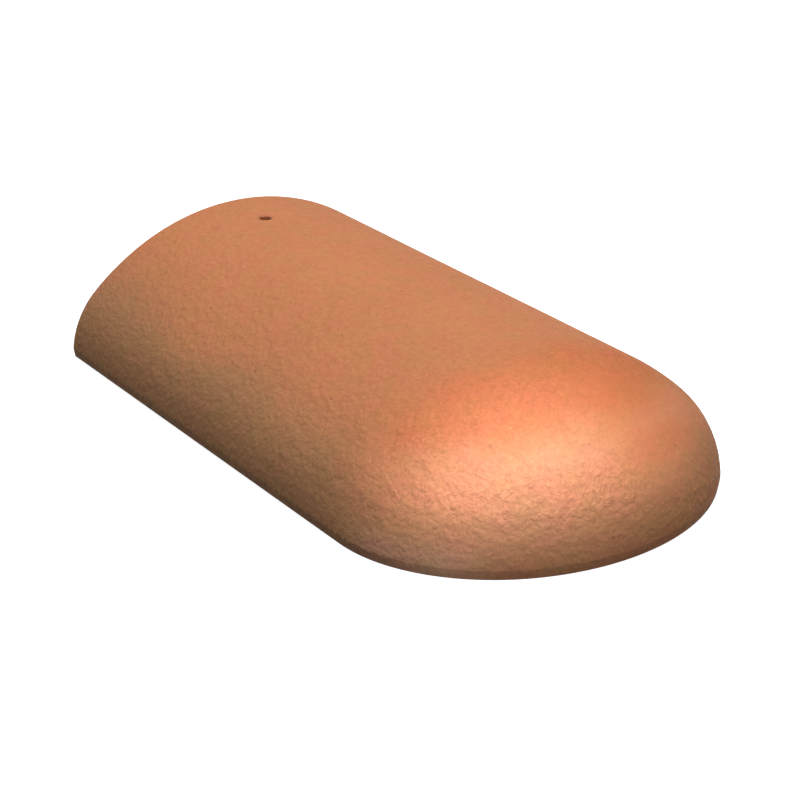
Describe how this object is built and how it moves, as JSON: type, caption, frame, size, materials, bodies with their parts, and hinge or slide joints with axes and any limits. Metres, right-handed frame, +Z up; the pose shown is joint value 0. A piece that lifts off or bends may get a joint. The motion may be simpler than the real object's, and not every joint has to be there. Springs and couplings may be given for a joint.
{
  "type": "hip starter tile",
  "caption": "Fired-clay hip starter tile: a hollow arched barrel closed by a rounded nose at the low end, open at the head and underneath, with a nail hole in the crown.",
  "frame": {"origin": "on the plane the tile's foot stands on, at the middle of its length and of its width", "axes": "+X down the hip, from the open head to the rounded nose; +Z up, out of the crown; +Y across the tile"},
  "size_m": [0.42, 0.25, 0.0835],
  "materials": {
    "fired_clay": "unglazed fired clay, orange-brown, finely grained with a slight sheen"
  },
  "bodies": {
    "root": {"hip_starter_tile": "fired_clay"}
  },
  "joints": []
}
